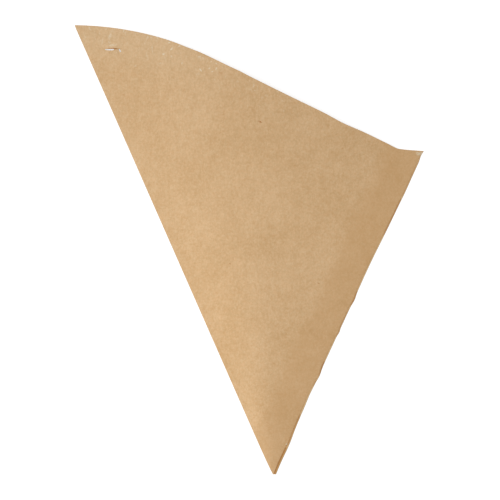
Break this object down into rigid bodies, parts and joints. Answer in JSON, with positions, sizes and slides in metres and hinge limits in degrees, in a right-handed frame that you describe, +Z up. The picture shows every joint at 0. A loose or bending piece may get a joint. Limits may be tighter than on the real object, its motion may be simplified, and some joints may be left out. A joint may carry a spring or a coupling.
{
  "type": "paper cone bag",
  "caption": "Flat pointed bag of plain brown paper, folded down its long edge, glued down its short edge, with a sweeping mouth and a small slit near the tall corner",
  "frame": {"origin": "On the surface that the bag lies on, under the middle of its outline", "axes": "+Z up, out of the front ply; +Y from the tip towards the tall corner, as the bag hangs; +X towards the glued edge"},
  "size_m": [0.1906, 0.2454, 0.0106],
  "materials": {
    "brown_paper": "plain machine-glazed brown paper, dull sheen, finely mottled"
  },
  "bodies": {
    "root": {"paper_cone_bag": "brown_paper"}
  },
  "joints": []
}
